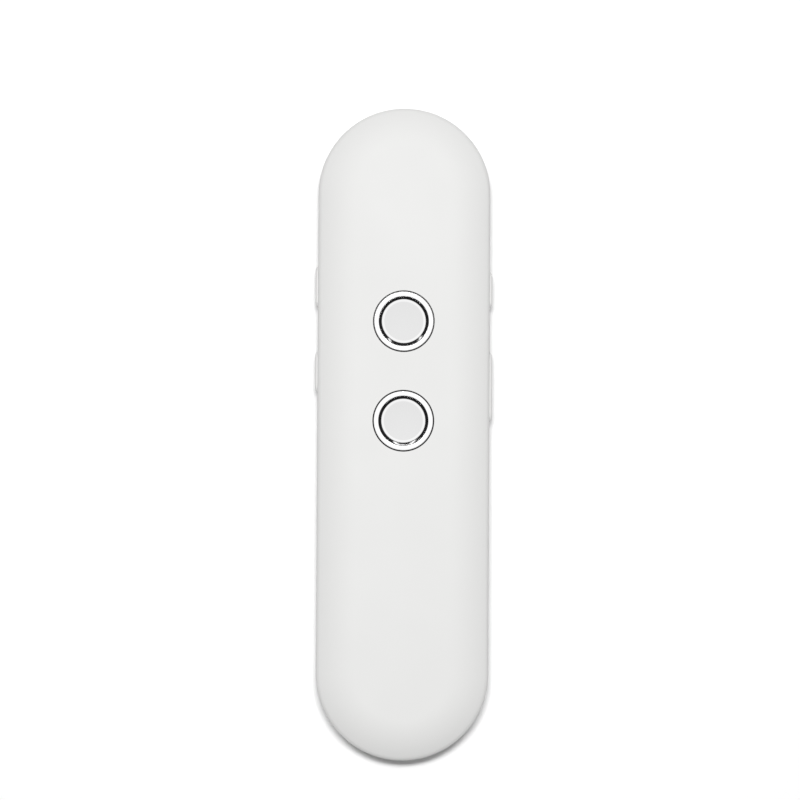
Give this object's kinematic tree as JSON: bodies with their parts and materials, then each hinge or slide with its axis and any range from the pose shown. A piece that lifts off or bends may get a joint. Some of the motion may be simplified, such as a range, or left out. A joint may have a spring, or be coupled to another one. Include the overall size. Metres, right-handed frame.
{
  "type": "handheld translator",
  "caption": "Slim white voice translator bar with round ends, ringed round talk buttons on its face, side keys, a volume rocker and a charging port.",
  "frame": {"origin": "middle of the flat back that the bar rests on", "axes": "+Z out of the front face, +Y along the bar towards its top end, +X towards the edge with the power key and the volume rocker"},
  "size_m": [0.0392, 0.144, 0.0119],
  "materials": {
    "white_satin_plastic": "satin",
    "white_gloss_plastic": "polished",
    "smoked_clear_plastic": "polished",
    "pale_grey_key_plastic": "satin",
    "black_nylon": "moulded",
    "circuit_board": "solder mask",
    "zinc_plated_steel": "plated",
    "diode_resin": "clear over phosphor",
    "tinned_steel": "tinned",
    "chip_resin": "moulded",
    "ferrite": "pressed",
    "stainless_steel": "rolled",
    "white_ceramic": "fired",
    "ceramic": "fired",
    "cell_foil": "laminated foil",
    "adhesive_tape": "foam tape",
    "red_insulation": "extruded",
    "black_insulation": "extruded",
    "ivory_nylon": "moulded",
    "speaker_basket_plastic": "moulded",
    "nickel_plated_iron": "plated",
    "speaker_film": "thin film",
    "black_foam": "closed-cell foam",
    "black_mesh": "woven",
    "microphone_can": "drawn",
    "black_silicone": "moulded",
    "gold_contacts": "gold plated"
  },
  "bodies": {
    "bar": {"front_cover": "white_satin_plastic", "rear_cover": "white_satin_plastic", "upper_bezel": "white_gloss_plastic", "lower_bezel": "white_gloss_plastic", "upper_light_ring": "smoked_clear_plastic", "lower_light_ring": "smoked_clear_plastic", "upper_talk_switch": "black_nylon", "lower_talk_switch": "black_nylon", "left_upper_switch": "black_nylon", "left_lower_switch": "black_nylon", "power_switch": "black_nylon", "volume_up_switch": "black_nylon", "volume_down_switch": "black_nylon", "main_board": "circuit_board", "board_screws": "zinc_plated_steel", "ring_leds": "diode_resin", "shield_can": "tinned_steel", "processor": "chip_resin", "memory_chip": "chip_resin", "audio_amplifier": "chip_resin", "charger_chip": "chip_resin", "power_inductor": "ferrite", "clock_crystal": "stainless_steel", "radio_antenna": "white_ceramic", "small_capacitors": "ceramic", "battery_cell": "cell_foil", "battery_tape": "adhesive_tape", "battery_guard_board": "circuit_board", "battery_lead_red": "red_insulation", "battery_lead_black": "black_insulation", "battery_plug": "ivory_nylon", "battery_socket": "ivory_nylon", "speaker_basket": "speaker_basket_plastic", "speaker_magnet": "nickel_plated_iron", "speaker_cone": "speaker_film", "speaker_gasket": "black_foam", "speaker_mesh": "black_mesh", "speaker_pad": "black_foam", "speaker_leads": "red_insulation", "bottom_microphone": "microphone_can", "bottom_mic_boot": "black_silicone", "top_microphone": "microphone_can", "top_mic_boot": "black_silicone", "usb_shell": "stainless_steel", "usb_tongue": "black_nylon", "usb_contacts": "gold_contacts"},
    "upper_button": {"upper_button_cap": "pale_grey_key_plastic", "upper_talk_plunger": "black_nylon"},
    "lower_button": {"lower_button_cap": "pale_grey_key_plastic", "lower_talk_plunger": "black_nylon"},
    "left_upper_button": {"left_upper_key": "white_satin_plastic", "left_upper_plunger": "black_nylon"},
    "left_lower_button": {"left_lower_key": "white_satin_plastic", "left_lower_plunger": "black_nylon"},
    "power_button": {"power_key": "white_satin_plastic", "power_plunger": "black_nylon"},
    "rocker": {"volume_rocker": "white_satin_plastic"},
    "volume_up_pin": {"volume_up_plunger": "black_nylon"},
    "volume_down_pin": {"volume_down_plunger": "black_nylon"}
  },
  "joints": [
    {"name": "upper_button_press", "type": "slide", "parent": "bar", "child": "upper_button", "axis": [0, 0, -1], "range_m": [0, 0.0003], "stiffness_N_per_m": 2500},
    {"name": "lower_button_press", "type": "slide", "parent": "bar", "child": "lower_button", "axis": [0, 0, -1], "range_m": [0, 0.0003], "stiffness_N_per_m": 2500},
    {"name": "left_upper_key_press", "type": "slide", "parent": "bar", "child": "left_upper_button", "axis": [1, 0, 0], "range_m": [0, 0.0003], "stiffness_N_per_m": 2500},
    {"name": "left_lower_key_press", "type": "slide", "parent": "bar", "child": "left_lower_button", "axis": [1, 0, 0], "range_m": [0, 0.0003], "stiffness_N_per_m": 2500},
    {"name": "power_key_press", "type": "slide", "parent": "bar", "child": "power_button", "axis": [-1, 0, 0], "range_m": [0, 0.0003], "stiffness_N_per_m": 2500},
    {"name": "volume_rocker_tilt", "type": "hinge", "parent": "bar", "child": "rocker", "pos_m": [0.01715, 0.0103, 0.006], "axis": [0, 0, 1], "range_deg": [-1.3, 1.3], "stiffness_Nm_per_rad": 0.25},
    {"name": "volume_up_pin_slide", "type": "slide", "parent": "bar", "child": "volume_up_pin", "axis": [-1, 0, 0], "range_m": [-0.0003, 0.0003]},
    {"name": "volume_down_pin_slide", "type": "slide", "parent": "bar", "child": "volume_down_pin", "axis": [-1, 0, 0], "range_m": [-0.0003, 0.0003]}
  ],
  "couplings": [
    {"joint": "volume_up_pin_slide", "follows": "volume_rocker_tilt", "m_per_rad": 0.0063},
    {"joint": "volume_down_pin_slide", "follows": "volume_rocker_tilt", "m_per_rad": -0.0063}
  ]
}
